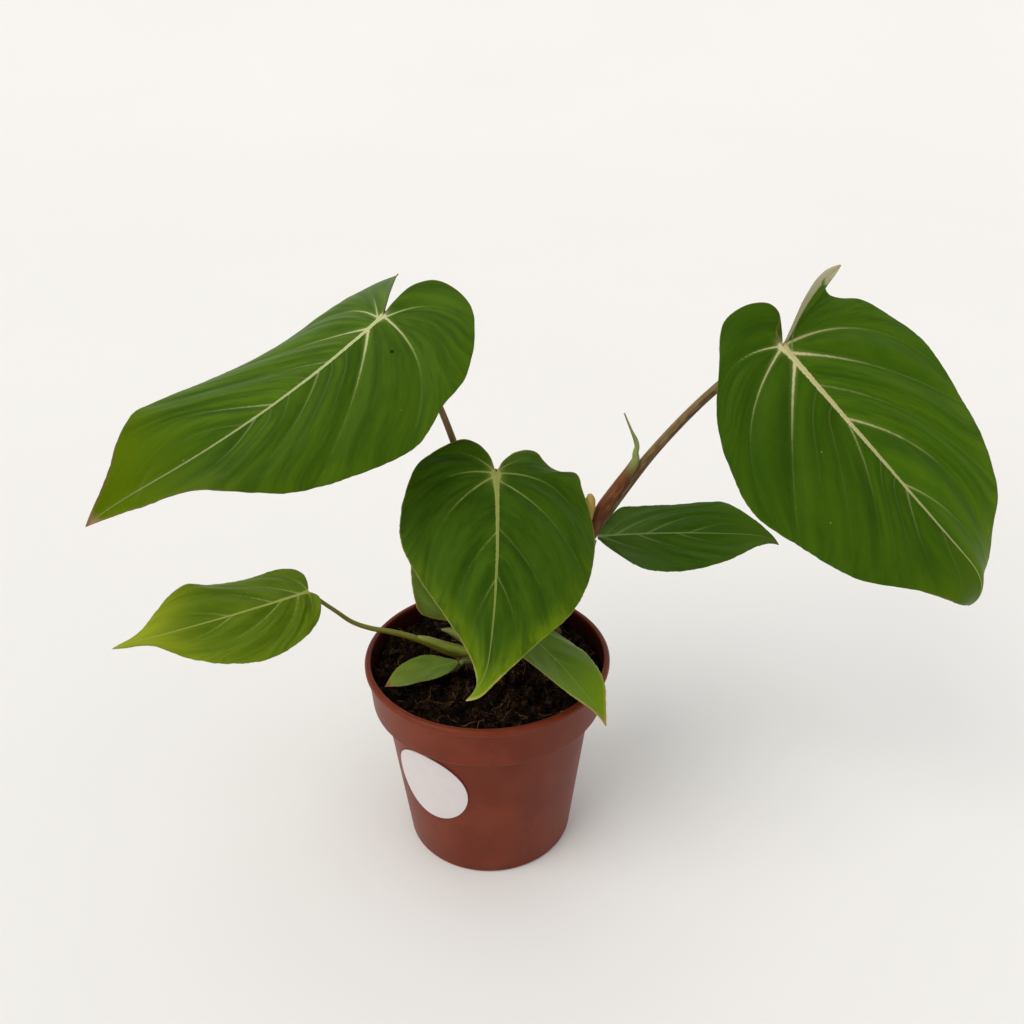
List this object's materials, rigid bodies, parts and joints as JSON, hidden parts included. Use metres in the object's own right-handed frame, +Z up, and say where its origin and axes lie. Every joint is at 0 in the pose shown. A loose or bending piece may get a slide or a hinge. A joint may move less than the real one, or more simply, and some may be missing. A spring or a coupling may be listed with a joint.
{
  "type": "potted plant",
  "caption": "Young creeping philodendron with broad heart-shaped pale-veined leaves on slender stalks, in a filled round plastic nursery pot with a blank round label",
  "frame": {"origin": "centre of the pot's foot, on the surface that it stands on", "axes": "+Z up along the pot's axis; +X to the right and +Y away from a viewer who faces the front leaf"},
  "size_m": [0.396, 0.1385, 0.2881],
  "materials": {
    "terracotta": "satin",
    "paper": "matte",
    "soil": "matte, crumbly",
    "rhizome": "matte, scarred",
    "leaf": "velvety satin",
    "young_leaf": "velvety satin",
    "pale_leaf": "matte",
    "green_stem": "satin",
    "brown_stem": "satin",
    "sheath": "satin",
    "spear": "satin"
  },
  "bodies": {
    "root": {"pot": "terracotta", "label": "paper", "soil": "soil", "rhizome": "rhizome", "blade_back_left": "leaf", "blade_front": "leaf", "blade_right": "leaf", "blade_right_low": "leaf", "blade_left_low": "young_leaf", "blade_rim": "young_leaf", "blade_small": "pale_leaf", "blade_pale": "pale_leaf", "petiole_back_left": "brown_stem", "petiole_front": "brown_stem", "petiole_right": "brown_stem", "petiole_right_low": "brown_stem", "petiole_left_low": "green_stem", "petiole_rim": "green_stem", "petiole_small": "green_stem", "petiole_pale": "green_stem", "cataphyll_right": "sheath", "cataphyll_left_low": "green_stem", "cataphyll_scale": "pale_leaf", "spear": "spear"}
  },
  "joints": []
}
